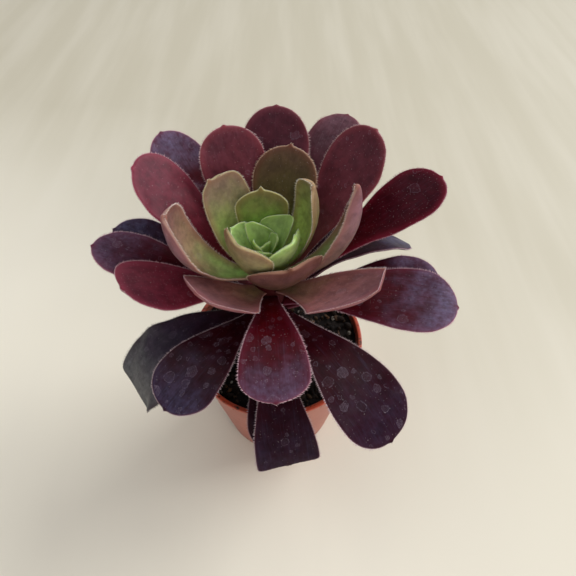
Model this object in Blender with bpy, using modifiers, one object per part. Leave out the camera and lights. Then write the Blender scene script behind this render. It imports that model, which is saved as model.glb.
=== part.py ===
"""A potted aeonium: a leafy rosette on a short stem, in a small round nursery pot.

Metres, +Z up. The pot stands on z = 0 with its axis on the Z axis. The front is towards -Y.
"""

import math
from dataclasses import dataclass

import bmesh
import bpy
import numpy as np

MM = 0.001

# Pot: a moulded plastic shell with a small bead round its rim, which narrows towards its floor.
POT_HEIGHT = 75 * MM
RIM_RADIUS = 42.5 * MM
BASE_RADIUS = 32 * MM
LIP_HEIGHT = 2.4 * MM
LIP_STEP = 0.6 * MM
WALL = 1.4 * MM
FLOOR = 1.8 * MM
EDGE_ROUND = 0.5 * MM
TURN_STEPS = 48
HOLE_RADIUS = 3 * MM
HOLE_RING_RADIUS = 21 * MM
HOLE_COUNT = 6
HOLE_SIDES = 20

# Soil: fills the pot to just under its rim, with a pocket for the stem.
TOUCH_GAP = 0.3 * MM
SOIL_DEPTH_BELOW_RIM = 3.2 * MM
SOIL_CROWN = 1.2 * MM
SOIL_STEPS = 40

# Stem: leans a little to the left as it rises out of the soil.
STEM_FOOT_Z = 58 * MM
STEM_BEND_Z = 72 * MM
STEM_TOP_Z = 137.5 * MM
STEM_LEAN = -4.5 * MM
STEM_LEAN_POWER = 1.4
STEM_WIDTHS = ((58, 6.0), (72, 6.0), (90, 5.6), (118, 6.0), (126, 4.8), (132, 3.0), (136, 1.6), (138, 0.9))
STEM_RINGS = 15
STEM_SIDES = 16

# Leaf: a thin fleshy paddle, drawn as a grid that Solidify thickens.
LEAF_ROWS = 14
LEAF_COLUMNS = 7
LEAF_TIP_WIDTH = 0.07
LEAF_EDGE_THICKNESS = 0.35
LEAF_THINNEST = 0.9 * MM
LEAF_THICKEST = 2.4 * MM
LEAF_THICKNESS_PER_LENGTH = 1 / 40
ROW_SPREAD = 1.6
SPINE_STEPS = 160
SPINE_REACH = 1.1
SKEW_START = 0.3
ROOT_GAP = 0.4 * MM


@dataclass
class Leaf:
    """One leaf. Lengths in mm, angles in degrees; azimuth 0 is the front and 90 is the right.

    The midrib starts at the slope rise and ends at tip_rise; a larger bend keeps it straight for
    longer, and sway turns it sideways. cup is half the arc across the leaf, neck the base's share
    of the width, slender how long it stays narrow, widest the part of the length where it is full,
    square how blunt its end is, and skew how far the end is cut askew.
    """

    name: str
    azimuth: float
    height: float
    length: float
    width: float
    rise: float
    tip_rise: float
    bend: float = 1
    sway: float = 0
    cup: float = 12
    roll: float = 0
    neck: float = 0.2
    slender: float = 2.3
    widest: float = 0.78
    square: float = 2
    skew: float = 0


LEAVES = (
    Leaf("lower_leaf_01", 234, 97, 54, 24, 26, 24),
    Leaf("lower_leaf_02", 190, 101, 62, 26, 32, 34),
    Leaf("lower_leaf_03", 140, 96.8, 44, 22, 28, 28),
    Leaf("lower_leaf_04", 166, 94, 52, 23, 20, 16),
    Leaf("lower_leaf_05", 355, 91, 58, 22, 6, -70, bend=1.2, sway=15),
    Leaf("lower_leaf_06", 212, 92, 50, 23, 18, 14),
    Leaf("outer_leaf_01", 177, 111.5, 74, 29, 44, 48),
    Leaf("outer_leaf_02", 153.5, 106, 84, 26, 41, 16, bend=5, sway=-3),
    Leaf("outer_leaf_03", 131.5, 112, 74, 28, 45, 48, slender=3.4, skew=-0.03),
    Leaf("outer_leaf_04", 110, 109.5, 80.5, 26.5, 36, 27, sway=2, slender=4.4, widest=0.84),
    Leaf("outer_leaf_05", 117, 102.4, 69, 15, 38, -38, bend=1.6, sway=-11, roll=18),
    Leaf("outer_leaf_06", 93, 100, 69, 26, 24, 4),
    Leaf("outer_leaf_07", 77.6, 106.4, 73, 30, 26, -2, roll=-6),
    Leaf("outer_leaf_08", 36.5, 103, 75, 30, 24, -38, bend=1.3, slender=2.6, widest=0.8),
    Leaf("outer_leaf_09", 4, 114, 52, 26, 30, -15, neck=0.28, slender=1.8, widest=0.82),
    Leaf("outer_leaf_10", 0, 97, 66.5, 26.5, 12, -62, bend=1.2, sway=16, roll=-4, slender=2.8,
         widest=0.95, square=6),
    Leaf("outer_leaf_11", 322.5, 104, 60.5, 28, 22, -22, slender=2.8),
    Leaf("outer_leaf_12", 294, 97, 73, 31, 18, -74, bend=1.7, sway=12, neck=0.3, square=3.2),
    Leaf("outer_leaf_13", 286, 111.5, 56.3, 24, 30, 18, roll=4, slender=2.8, square=2.4, skew=0.1),
    Leaf("outer_leaf_14", 268.5, 106.5, 71, 23, 31, 21, roll=2, slender=2.8),
    Leaf("outer_leaf_15", 257, 100.6, 70, 26, 31, 25),
    Leaf("outer_leaf_16", 246.5, 114.6, 68, 26, 46, 47, sway=3, skew=0.03),
    Leaf("outer_leaf_17", 224.7, 109, 77, 25, 40, 42),
    Leaf("outer_leaf_18", 203.5, 119, 60, 27, 49, 57),
    Leaf("middle_leaf_01", 60, 117, 40.6, 28, 18, 32, cup=28, roll=1, neck=0.25, slender=2, widest=0.78,
         square=2.6, skew=-0.36),
    Leaf("middle_leaf_02", 321, 117.5, 32, 28, 26, 46, cup=26, roll=2, neck=0.28, slender=1.6,
         widest=0.8, square=2.6, skew=0.28),
    Leaf("middle_leaf_03", 281, 123, 53, 26, 8, 96, cup=54, neck=0.26, slender=1.5, widest=0.78,
         square=1.7, skew=0.1),
    Leaf("middle_leaf_04", 90.5, 120.8, 62, 25.5, 10, 112, sway=8, cup=50, roll=24, neck=0.3,
         slender=1.4, widest=0.66, square=1.4),
    Leaf("middle_leaf_05", 164.2, 121.4, 49.5, 26.5, 55, 50, widest=0.73),
    Leaf("middle_leaf_06", 30, 121, 27.5, 31, 35, 86, cup=34, roll=13, neck=0.34, slender=1.4,
         square=2.6, skew=-0.09),
    Leaf("inner_leaf_01", 223, 125.2, 40, 22, 40, 76, neck=0.34, slender=0.7, widest=0.48, square=3.6),
    Leaf("inner_leaf_02", 114, 124.5, 44.5, 20, 26, 105, bend=0.8, cup=50, roll=5, neck=0.4, slender=1,
         widest=0.7, square=3, skew=-0.02),
    Leaf("inner_leaf_03", 322, 126, 28, 26, 48, 94, cup=46, neck=0.34, slender=1.4, square=2.2,
         skew=0.06),
    Leaf("inner_leaf_04", 184, 128.5, 27.8, 21, 70, 54, neck=0.34, slender=1.4, square=1.75),
    Leaf("inner_leaf_05", 51, 127.5, 25, 21.5, 46, 90, cup=46, neck=0.34, slender=1.4, skew=-0.05),
    Leaf("heart_leaf_01", 253, 131.2, 17, 14, 61, 51, cup=30, neck=0.34, slender=1.4, square=1.6),
    Leaf("heart_leaf_02", 142, 131.7, 18, 14.5, 67, 58, cup=30, neck=0.5, slender=1, square=3, skew=0.2),
    Leaf("heart_leaf_03", 348, 131, 10.5, 10, 70, 92, cup=40, neck=0.34, slender=1.4),
    Leaf("heart_leaf_04", 194, 134.4, 12, 12, 74, 60, cup=30, roll=-8, neck=0.34, slender=1.4, square=3,
         skew=-0.3),
    Leaf("heart_leaf_05", 103, 134.5, 9.5, 8.5, 70, 62, cup=34, neck=0.34, slender=1.4),
    Leaf("heart_leaf_06", 300, 134.7, 8, 7.5, 76, 88, cup=40, neck=0.34, slender=1.4),
    Leaf("heart_leaf_07", 45, 135.4, 7, 6.5, 78, 94, cup=40, neck=0.34, slender=1.4),
)

# Base colour, roughness and metallic value of each kind of sub-part.
FINISHES = {
    "pot": ((0.42, 0.13, 0.07), 0.45, 0.0),
    "soil": ((0.02, 0.014, 0.01), 0.95, 0.0),
    "stem": ((0.16, 0.12, 0.07), 0.8, 0.0),
    "lower_leaf": ((0.05, 0.012, 0.02), 0.45, 0.0),
    "outer_leaf": ((0.06, 0.01, 0.02), 0.4, 0.0),
    "middle_leaf": ((0.22, 0.1, 0.09), 0.45, 0.0),
    "inner_leaf": ((0.16, 0.26, 0.06), 0.45, 0.0),
    "heart_leaf": ((0.2, 0.42, 0.08), 0.4, 0.0),
}


def clear_scene():
    for item in list(bpy.data.objects):
        bpy.data.objects.remove(item)


def new_collection(name):
    collection = bpy.data.collections.new(name)
    bpy.context.scene.collection.children.link(collection)
    return collection


def material_for(kind):
    material = bpy.data.materials.get(kind) or bpy.data.materials.new(kind)
    material.use_nodes = True
    shader = material.node_tree.nodes["Principled BSDF"]
    colour, roughness, metallic = FINISHES[kind]
    shader.inputs["Base Color"].default_value = (*colour, 1)
    shader.inputs["Roughness"].default_value = roughness
    shader.inputs["Metallic"].default_value = metallic
    return material


def add_object(name, mesh, collection, kind, parent=None):
    item = bpy.data.objects.new(name, mesh)
    collection.objects.link(item)
    mesh.materials.append(material_for(kind))
    item.parent = parent
    return item


def turned(name, profile, steps, collection, kind):
    """Turns an outline of (radius, height) points, which runs down its outer side, about Z."""
    mesh = bpy.data.meshes.new(name)
    edges = [(i, i + 1) for i in range(len(profile) - 1)]
    mesh.from_pydata([(radius, 0, height) for radius, height in profile], edges, [])
    item = add_object(name, mesh, collection, kind)
    screw = item.modifiers.new("Turn", "SCREW")
    screw.steps = steps
    screw.render_steps = steps
    screw.use_merge_vertices = True
    screw.merge_threshold = 0.00005
    screw.use_normal_calculate = False
    return item


def wall_radius(height):
    """The pot's outer wall under the lip, as a radius at a height."""
    top_radius = RIM_RADIUS - LIP_STEP
    return BASE_RADIUS + (top_radius - BASE_RADIUS) * height / POT_HEIGHT


def make_pot(collection, cutters):
    lip_foot = POT_HEIGHT - LIP_HEIGHT
    inner_floor_radius = wall_radius(FLOOR) - WALL
    inner_rim_radius = wall_radius(POT_HEIGHT) - WALL
    profile = [
        (inner_rim_radius + EDGE_ROUND, POT_HEIGHT),
        (RIM_RADIUS - EDGE_ROUND, POT_HEIGHT),
        (RIM_RADIUS, POT_HEIGHT - EDGE_ROUND),
        (RIM_RADIUS - EDGE_ROUND, lip_foot),
        (wall_radius(lip_foot - EDGE_ROUND), lip_foot - EDGE_ROUND),
        (wall_radius(EDGE_ROUND), EDGE_ROUND),
        (BASE_RADIUS - EDGE_ROUND, 0),
        (0, 0),
    ]
    inside = [
        (0, FLOOR),
        (inner_floor_radius - EDGE_ROUND, FLOOR),
        (inner_floor_radius, FLOOR + EDGE_ROUND),
        (inner_rim_radius, POT_HEIGHT - EDGE_ROUND),
    ]
    pot = turned("pot", inside + profile, TURN_STEPS, collection, "pot")
    for number in range(HOLE_COUNT):
        angle = math.tau * number / HOLE_COUNT
        cut_drain_hole(pot, number, angle, cutters)
    return pot


def cut_drain_hole(pot, number, angle, cutters):
    mesh = bpy.data.meshes.new(f"drain_cutter_{number + 1}")
    shape = bmesh.new()
    bmesh.ops.create_cone(
        shape, cap_ends=True, segments=HOLE_SIDES, radius1=HOLE_RADIUS, radius2=HOLE_RADIUS, depth=4 * FLOOR
    )
    shape.to_mesh(mesh)
    shape.free()
    cutter = bpy.data.objects.new(mesh.name, mesh)
    cutter.location = (HOLE_RING_RADIUS * math.cos(angle), HOLE_RING_RADIUS * math.sin(angle), FLOOR / 2)
    cutter.hide_render = True
    cutter.display_type = "WIRE"
    cutters.objects.link(cutter)
    cut = pot.modifiers.new(f"Drain {number + 1}", "BOOLEAN")
    cut.operation = "DIFFERENCE"
    cut.solver = "EXACT"
    cut.object = cutter


def make_soil(collection):
    """Peat that fills the pot, kept a touch clear of the wall, with a blind pocket for the stem."""
    bottom = FLOOR + TOUCH_GAP
    top = POT_HEIGHT - SOIL_DEPTH_BELOW_RIM
    slack = WALL + TOUCH_GAP
    pocket_radius = stem_radius(STEM_FOOT_Z) + TOUCH_GAP
    pocket_floor = STEM_FOOT_Z - TOUCH_GAP
    half_way = (wall_radius(top) + pocket_radius) / 2
    profile = [
        (0, pocket_floor),
        (pocket_radius, pocket_floor),
        (pocket_radius, top + SOIL_CROWN),
        (half_way, top + SOIL_CROWN / 2),
        (wall_radius(top) - slack - EDGE_ROUND, top),
        (wall_radius(top) - slack, top - EDGE_ROUND),
        (wall_radius(bottom) - slack, bottom + EDGE_ROUND),
        (wall_radius(bottom) - slack - 2 * EDGE_ROUND, bottom),
        (0, bottom),
    ]
    return turned("soil", profile, SOIL_STEPS, collection, "soil")


def stem_radius(height):
    heights, radii = zip(*STEM_WIDTHS)
    return float(np.interp(height / MM, heights, radii)) * MM


def stem_centre(height):
    """The stem's axis at a height: upright in the soil, then leaning more and more."""
    part = max(0.0, (height - STEM_BEND_Z) / (STEM_TOP_Z - STEM_BEND_Z))
    return np.array((STEM_LEAN * part**STEM_LEAN_POWER, 0.0, height))


def make_stem(collection, plant):
    """A tube along the stem's axis, whose radius follows STEM_WIDTHS."""
    curve = bpy.data.curves.new("stem_curve", "CURVE")
    curve.dimensions = "3D"
    curve.bevel_depth = 1.0
    curve.bevel_resolution = STEM_SIDES // 4 - 1
    curve.resolution_u = 1
    curve.use_fill_caps = True
    spline = curve.splines.new("POLY")
    spline.points.add(STEM_RINGS - 1)
    for point, height in zip(spline.points, np.linspace(STEM_FOOT_Z, STEM_TOP_Z, STEM_RINGS)):
        point.co = (*stem_centre(height), 1)
        point.radius = stem_radius(height)
    item = bpy.data.objects.new("stem", curve)
    collection.objects.link(item)
    curve.materials.append(material_for("stem"))
    item.parent = plant
    return item


def leaf_width(part, leaf):
    """Half the leaf's width, as a share of the widest, at a part of its length from base to tip."""
    swell = np.sin(np.pi / 2 * np.clip(part / leaf.widest, 0, 1)) ** leaf.slender
    beyond = np.clip((part - leaf.widest) / (1 - leaf.widest), 0, 1)
    shoulder = (1 - beyond**leaf.square) ** (1 / leaf.square)
    share = np.where(part <= leaf.widest, leaf.neck + (1 - leaf.neck) * swell, shoulder)
    return np.maximum(share, LEAF_TIP_WIDTH)


def leaf_spine(leaf, part):
    """The midrib's point, direction, side and upward normal at a part of its length."""
    fine = np.linspace(0, SPINE_REACH, SPINE_STEPS + 1)
    slope = np.radians(leaf.rise + (leaf.tip_rise - leaf.rise) * fine**leaf.bend)
    heading = np.radians(leaf.sway * fine)
    way = np.stack((np.cos(slope) * np.cos(heading), np.cos(slope) * np.sin(heading), np.sin(slope)), -1)
    steps = (way[1:] + way[:-1]) / 2 * leaf.length * MM * SPINE_REACH / SPINE_STEPS
    points = np.vstack((np.zeros(3), np.cumsum(steps, axis=0)))
    point = np.array([np.interp(part, fine, points[:, axis]) for axis in range(3)])
    turn = math.radians(leaf.sway * part)
    side = np.array((math.sin(turn), -math.cos(turn), 0))
    along = np.array([np.interp(part, fine, way[:, axis]) for axis in range(3)])
    normal = np.cross(side, along / np.linalg.norm(along))
    roll = math.radians(leaf.roll)
    rolled_side = side * math.cos(roll) + normal * math.sin(roll)
    return point, rolled_side, normal * math.cos(roll) - side * math.sin(roll)


def leaf_point(leaf, part, across):
    """A point of the leaf's middle surface, across from -1 to 1, in the leaf's own frame."""
    share = float(leaf_width(part, leaf))
    late = np.clip((part - SKEW_START) / (1 - SKEW_START), 0, 1)
    reach = part * (1 + leaf.skew * share * across * late**2 * (3 - 2 * late))
    point, side, normal = leaf_spine(leaf, reach)
    cup = math.radians(leaf.cup)
    bow = leaf.width * MM / 2 * share / cup
    return point + side * bow * math.sin(cup * across) + normal * bow * (1 - math.cos(cup * across))


def leaf_thickness(leaf):
    return min(LEAF_THICKEST, LEAF_THINNEST + leaf.length * MM * LEAF_THICKNESS_PER_LENGTH)


def leaf_surface(leaf):
    """Bends a flat grid into the leaf's middle surface, with a weight that thins its margin."""
    mesh = bpy.data.meshes.new(leaf.name)
    shape = bmesh.new()
    bmesh.ops.create_grid(shape, x_segments=LEAF_ROWS - 1, y_segments=LEAF_COLUMNS - 1, size=1)
    weights = []
    for corner in shape.verts:
        part = 1 - (1 - (corner.co.x + 1) / 2) ** ROW_SPREAD
        across = corner.co.y
        corner.co = leaf_point(leaf, part, across)
        weights.append(LEAF_EDGE_THICKNESS + (1 - LEAF_EDGE_THICKNESS) * (1 - across**2))
    bmesh.ops.recalc_face_normals(shape, faces=shape.faces)
    shape.to_mesh(mesh)
    shape.free()
    return mesh, weights


def make_leaf(leaf, collection, plant):
    mesh, weights = leaf_surface(leaf)
    item = add_object(leaf.name, mesh, collection, leaf.name[:-3], plant)
    flesh = item.vertex_groups.new(name="flesh")
    for index, weight in enumerate(weights):
        flesh.add([index], weight, "REPLACE")
    thickness = leaf_thickness(leaf)
    height = leaf.height * MM
    turn = math.radians(leaf.azimuth - 90)
    clearance = ROOT_GAP + thickness / 2 * math.sin(math.radians(leaf.rise))
    reach = stem_radius(height) + clearance
    item.location = stem_centre(height) + reach * np.array((math.cos(turn), math.sin(turn), 0))
    item.rotation_euler = (0, 0, turn)
    solidify = item.modifiers.new("Flesh", "SOLIDIFY")
    solidify.thickness = thickness
    solidify.offset = 0
    solidify.vertex_group = "flesh"
    return item


def main():
    clear_scene()
    parts = new_collection("potted_aeonium")
    cutters = new_collection("cutters")
    make_pot(parts, cutters)
    make_soil(parts)
    plant = bpy.data.objects.new("plant", None)
    parts.objects.link(plant)
    make_stem(parts, plant)
    for leaf in LEAVES:
        make_leaf(leaf, parts, plant)


main()
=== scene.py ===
# %% [markdown]
# # A potted aeonium, finished in Blender
# The construction model already fixes the size and place of the pot, the soil, the stem and all
# forty-two leaves. This script loads that model as a frame and builds the surfaces a viewer sees.
# It works from the table upwards: pot, soil, stem, then the leaves, ring by ring.

# %% Load the frame
import math
from dataclasses import dataclass

import bmesh
import bpy
import numpy as np
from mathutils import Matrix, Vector


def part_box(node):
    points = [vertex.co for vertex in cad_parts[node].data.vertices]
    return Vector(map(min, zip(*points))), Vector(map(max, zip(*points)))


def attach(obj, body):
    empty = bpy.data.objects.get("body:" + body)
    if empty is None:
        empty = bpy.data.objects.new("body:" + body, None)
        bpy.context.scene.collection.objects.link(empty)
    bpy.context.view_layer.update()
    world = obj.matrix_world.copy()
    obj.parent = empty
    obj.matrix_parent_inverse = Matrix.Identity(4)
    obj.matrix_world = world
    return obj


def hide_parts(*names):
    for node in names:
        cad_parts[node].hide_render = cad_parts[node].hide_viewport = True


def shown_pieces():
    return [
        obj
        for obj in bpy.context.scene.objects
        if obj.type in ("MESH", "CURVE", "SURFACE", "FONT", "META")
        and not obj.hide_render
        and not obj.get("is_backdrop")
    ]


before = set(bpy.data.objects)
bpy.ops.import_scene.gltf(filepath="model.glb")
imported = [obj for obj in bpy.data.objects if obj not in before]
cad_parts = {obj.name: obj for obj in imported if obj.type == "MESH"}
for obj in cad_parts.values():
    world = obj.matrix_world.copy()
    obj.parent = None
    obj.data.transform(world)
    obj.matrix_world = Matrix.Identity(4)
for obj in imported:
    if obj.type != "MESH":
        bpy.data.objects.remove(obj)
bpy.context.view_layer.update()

MM = 0.001

# %% [markdown]
# ## Camera and light
# The plant is seen from above the front, close to, through a short lens, so the near leaves look
# large and the pot small. A lamp as big as a window stands high at the back right, a weak one hangs
# overhead, and another fills the shadows from the front. Area lamps are chosen over a sun because
# their reflections make the soft grey sheen that a smooth dark leaf shows along its bend.

# %% Camera
EYE = (0.00566, -0.1203, 0.2671)
TILT_FROM_STRAIGHT_DOWN = 38.03
LENS = 28.125
SENSOR = 36

camera = bpy.data.objects.new("camera", bpy.data.cameras.new("camera"))
bpy.context.scene.collection.objects.link(camera)
camera.location = EYE
camera.rotation_euler = (math.radians(TILT_FROM_STRAIGHT_DOWN), 0, 0)
camera.data.lens = LENS
camera.data.sensor_width = SENSOR
camera.data.clip_start = 0.01
bpy.context.scene.camera = camera
print("camera", round(camera.location.length / MM), "mm from the pot's foot")


# %% Colours are written as a painter would read them off a chart, from 0 to 255
def tone(red, green, blue):
    """A screen colour turned into the linear light that shaders work in."""
    share = np.array((red, green, blue)) / 255
    linear = np.where(share <= 0.04045, share / 12.92, ((share + 0.055) / 1.055) ** 2.4)
    return (*[float(value) for value in linear], 1.0)


print("half of white on the chart is", round(tone(128, 128, 128)[0], 2), "of its light")


# %% Lamps
def add_lamp(name, place, aim, size, power, colour, glossy=True):
    """An area lamp; one that is not glossy lights surfaces without showing as a highlight."""
    lamp = bpy.data.objects.new(name, bpy.data.lights.new(name, "AREA"))
    bpy.context.scene.collection.objects.link(lamp)
    lamp.data.shape = "RECTANGLE"
    lamp.data.size, lamp.data.size_y = size
    lamp.data.energy = power
    lamp.data.color = colour
    lamp.location = place
    lamp.rotation_euler = (Vector(aim) - Vector(place)).to_track_quat("-Z", "Y").to_euler()
    lamp.visible_glossy = glossy


MID_PLANT = (0, 0, 0.1)
MID_POT = (0, 0, 0.08)
WARM = (1.0, 0.96, 0.9)
add_lamp("window", (3.0, 1.8, 2.8), MID_PLANT, size=(3.0, 2.6), power=152, colour=(0.93, 0.97, 1.0))
add_lamp("ceiling", (-0.3, 0.3, 1.6), MID_PLANT, size=(1.6, 1.4), power=7, colour=(0.97, 0.98, 1.0))
add_lamp("front_fill", (0.7, -1.2, 0.8), MID_POT, size=(1.2, 0.9), power=7, colour=WARM, glossy=False)

# %% Light from the room itself
ROOM_TINT = (0.86, 0.9, 1.0, 1)
ROOM_LIGHT = 0.31

world = bpy.data.worlds.new("room")
world.use_nodes = True
room = world.node_tree.nodes["Background"].inputs
room["Color"].default_value = ROOM_TINT
room["Strength"].default_value = ROOM_LIGHT
bpy.context.scene.world = world
bpy.context.scene.view_settings.view_transform = "Standard"
print("room light:", ROOM_LIGHT)

# %% [markdown]
# ## A bench for finishes
# A finish is a chain of shader nodes: textures that vary, mixed into one colour, one roughness and
# one height. Wiring them one by one hides the recipe, so this class gives each common node a short
# name. A recipe then reads from top to bottom like coats of paint.


# %% The finish class
class Finish:
    """One material, with short calls that add nodes and return the output to pass on."""

    def __init__(self, name, roughness, specular):
        self.material = bpy.data.materials.new(name)
        self.material.use_nodes = True
        self.tree = self.material.node_tree
        self.shader = self.tree.nodes["Principled BSDF"]
        self.set("Roughness", roughness)
        self.set("Specular IOR Level", specular)

    def feed(self, socket, value):
        if isinstance(value, bpy.types.NodeSocket):
            self.tree.links.new(value, socket)
        else:
            socket.default_value = value

    def set(self, name, value):
        self.feed(self.shader.inputs[name], value)

    def node(self, kind, values=(), **settings):
        """Adds a node; values go into its inputs by name, settings onto the node itself."""
        made = self.tree.nodes.new("ShaderNode" + kind)
        for name, value in settings.items():
            setattr(made, name, value)
        for name, value in dict(values).items():
            self.feed(made.inputs[name], value)
        return made

    def read(self, attribute):
        return self.node("Attribute", attribute_name=attribute).outputs["Vector"]

    def split(self, vector):
        return self.node("SeparateXYZ", {"Vector": vector}).outputs

    def stretch(self, vector, factors):
        made = self.node("VectorMath", {0: vector, 1: factors}, operation="MULTIPLY")
        return made.outputs[0]

    def maths(self, operation, *values):
        return self.node("Math", dict(enumerate(values)), operation=operation).outputs[0]

    def plus(self, first, second):
        return self.maths("ADD", first, second)

    def minus(self, first, second):
        return self.maths("SUBTRACT", first, second)

    def times(self, first, second):
        return self.maths("MULTIPLY", first, second)

    def scaled(self, value, factor, extra):
        """The value times a factor, and something more."""
        return self.maths("MULTIPLY_ADD", value, factor, extra)

    def step(self, value, low, high, start=0.0, end=1.0):
        """Goes smoothly from start to end as value goes from low to high."""
        limits = {"Value": value, "From Min": low, "From Max": high, "To Min": start, "To Max": end}
        return self.node("MapRange", limits, interpolation_type="SMOOTHSTEP").outputs[0]

    def mix(self, share, first, second, how="MIX"):
        made = self.node("Mix", {0: share, 6: first, 7: second}, data_type="RGBA", blend_type=how)
        return made.outputs[2]

    def ramp(self, value, *stops):
        """Colours laid along a value; each stop is (place, colour)."""
        made = self.node("ValToRGB", {"Fac": value})
        elements = made.color_ramp.elements
        for _ in stops[2:]:
            elements.new(0.5)
        for element, (place, colour) in zip(elements, stops):
            element.position = place
            element.color = colour
        return made.outputs["Color"]

    def noise(self, vector, scale, detail=2.0, roughness=0.5):
        values = {"Vector": vector, "Scale": scale, "Detail": detail, "Roughness": roughness}
        return self.node("TexNoise", values).outputs["Fac"]

    def warp(self, vector, scale, amount):
        """Bends a place about by up to half the amount, so that what is drawn there turns uneven."""
        noise = self.node("TexNoise", {"Vector": vector, "Scale": scale, "Detail": 2.0})
        middle = self.node("VectorMath", {0: noise.outputs["Color"], 1: (-0.5,) * 3}, operation="ADD")
        shift = self.stretch(middle.outputs[0], (amount,) * 3)
        return self.node("VectorMath", {0: shift, 1: vector}, operation="ADD").outputs[0]

    def cells(self, vector, scale, dimensions="3D"):
        """Scattered points: the distance to the nearest one, and a colour of its own."""
        values = {"Vector": vector, "Scale": scale}
        made = self.node("TexVoronoi", values, voronoi_dimensions=dimensions)
        return made.outputs["Distance"], made.outputs["Color"]

    def relief(self, height, depth, strength):
        values = {"Height": height, "Distance": depth, "Strength": strength}
        self.set("Normal", self.node("Bump", values).outputs[0])


print("calls on the bench:", sum(not name.startswith("_") for name in vars(Finish)))

# %% [markdown]
# ## The table
# The floor is only a stage: a pale plain board with the faintest random drift in its tone, and
# painted shade that makes it darker towards the back and the right, so that it takes the plant's
# shadow without drawing the eye.

# %% Floor
FLOOR_REACH = 2.5
# The ramp's deep end doubles as painted shade and its pale end as painted light.
BOARD_DEEP_AND_SHADED = tone(208, 198, 174)
BOARD_PALE_AND_LIT = tone(243, 234, 214)
BOARD_GRAIN = tone(236, 227, 208)


def floor_finish():
    paint = Finish("pale_board", 0.55, specular=0.35)
    place = paint.node("TexCoord").outputs["Object"]
    grain = paint.noise(paint.stretch(place, (30, 3, 30)), 1.0, 3)
    right, back, _ = paint.split(place)
    # Painted shade: the board is painted darker towards the back and towards the right, on top of a random
    # drift in its tone.
    cloud = paint.scaled(paint.noise(place, 4.0, 2), 0.25, paint.scaled(back, -0.8, 0.08))
    tone_drift_and_painted_shade = paint.scaled(right, -0.45, cloud)
    colour = paint.ramp(tone_drift_and_painted_shade, (0.0, BOARD_DEEP_AND_SHADED), (0.3, BOARD_PALE_AND_LIT))
    colour = paint.mix(paint.step(grain, 0.35, 0.75, 0, 0.3), colour, BOARD_GRAIN)
    paint.set("Base Color", colour)
    return paint.material


floor_mesh = bpy.data.meshes.new("floor")
corners = [(FLOOR_REACH * x, FLOOR_REACH * y, 0) for x, y in ((-1, -1), (1, -1), (1, 1), (-1, 1))]
floor_mesh.from_pydata(corners, [], [(0, 1, 2, 3)])
floor = bpy.data.objects.new("floor", floor_mesh)
bpy.context.scene.collection.objects.link(floor)
floor_mesh.materials.append(floor_finish())
floor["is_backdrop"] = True
print("floor laid at z = 0")

# %% [markdown]
# ## From points to pieces
# Every piece below ends the same way: points and faces become one mesh, numbers that its finish
# needs are stored on the points, and the parts of the frame that it stands for are hidden.


# %% Making, naming and placing a piece
def add_piece(name, points, faces, material, stands_for=(), notes=None):
    """Builds one smooth-shaded mesh; notes are (name: values) stored on its points."""
    mesh = bpy.data.meshes.new(name)
    mesh.from_pydata(np.asarray(points).tolist(), [], [list(map(int, face)) for face in faces])
    for note, values in (notes or {}).items():
        values = np.asarray(values, np.float32)
        kind, field = ("FLOAT_VECTOR", "vector") if values.ndim == 2 else ("FLOAT", "value")
        mesh.attributes.new(note, kind, "POINT").data.foreach_set(field, values.ravel())
    mesh.shade_smooth()
    mesh.materials.append(material)
    piece = bpy.data.objects.new(name, mesh)
    bpy.context.scene.collection.objects.link(piece)
    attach(piece, "root")
    if stands_for:
        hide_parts(*stands_for)
    return piece


def ring_faces(rings, sides):
    """Quads between rings of points that each go once round."""
    faces = []
    for ring in range(rings - 1):
        for side in range(sides):
            turn = (side + 1) % sides
            low, high = ring * sides, (ring + 1) * sides
            faces.append((low + side, low + turn, high + turn, high + side))
    return faces


RIPPLE_WAVES = 7


def ripple(points, wavelength, seed):
    """A smooth random height between about -1 and 1, made of a few crossing waves."""
    draw = np.random.RandomState(seed)
    points = np.asarray(points, float)
    total = np.zeros(points.shape[:-1])
    for _ in range(RIPPLE_WAVES):
        way = draw.normal(size=points.shape[-1])
        way *= math.tau / wavelength * draw.uniform(0.6, 1.6) / np.linalg.norm(way)
        total += np.sin(points @ way + draw.uniform(0, math.tau))
    return total / math.sqrt(RIPPLE_WAVES / 2) / 1.6


print("helpers ready")

# %% [markdown]
# ## The pot
# A nursery pot is a thin cone of terracotta-coloured plastic with a small bead round its rim and
# drainage holes in its floor. A turned outline suits it: one profile, swept once round the axis.
# The sweep is slightly out of round, as thin plastic is, and the holes are cut with a Boolean.

# %% The pot's outline
pot_low, pot_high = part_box("pot")
RIM_RADIUS = (pot_high.x - pot_low.x) / 2
POT_HEIGHT = pot_high.z
BASE_RADIUS = 32 * MM
BEAD_HEIGHT = 2.4 * MM
BEAD_STEP = 0.6 * MM
WALL = 1.4 * MM
POT_FLOOR = 1.8 * MM
POT_SIDES = 160
POT_WOBBLE = 0.25 * MM
INNER_CORNER = 1.0 * MM
LIP_INSIDE = 0.5 * MM
LIP_OUTSIDE = 0.6 * MM
FOOT_ROUND = 0.8 * MM


def wall_radius(height):
    """The outer wall's radius at a height, under the bead."""
    return BASE_RADIUS + (RIM_RADIUS - BEAD_STEP - BASE_RADIUS) * height / POT_HEIGHT


def corner_arc(centre, radius, start, end, steps=5):
    """A rounded corner, as (radius, height) points between two angles in degrees."""
    angles = np.radians(np.linspace(start, end, steps))
    return [(centre[0] + radius * math.cos(a), centre[1] + radius * math.sin(a)) for a in angles]


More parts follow.
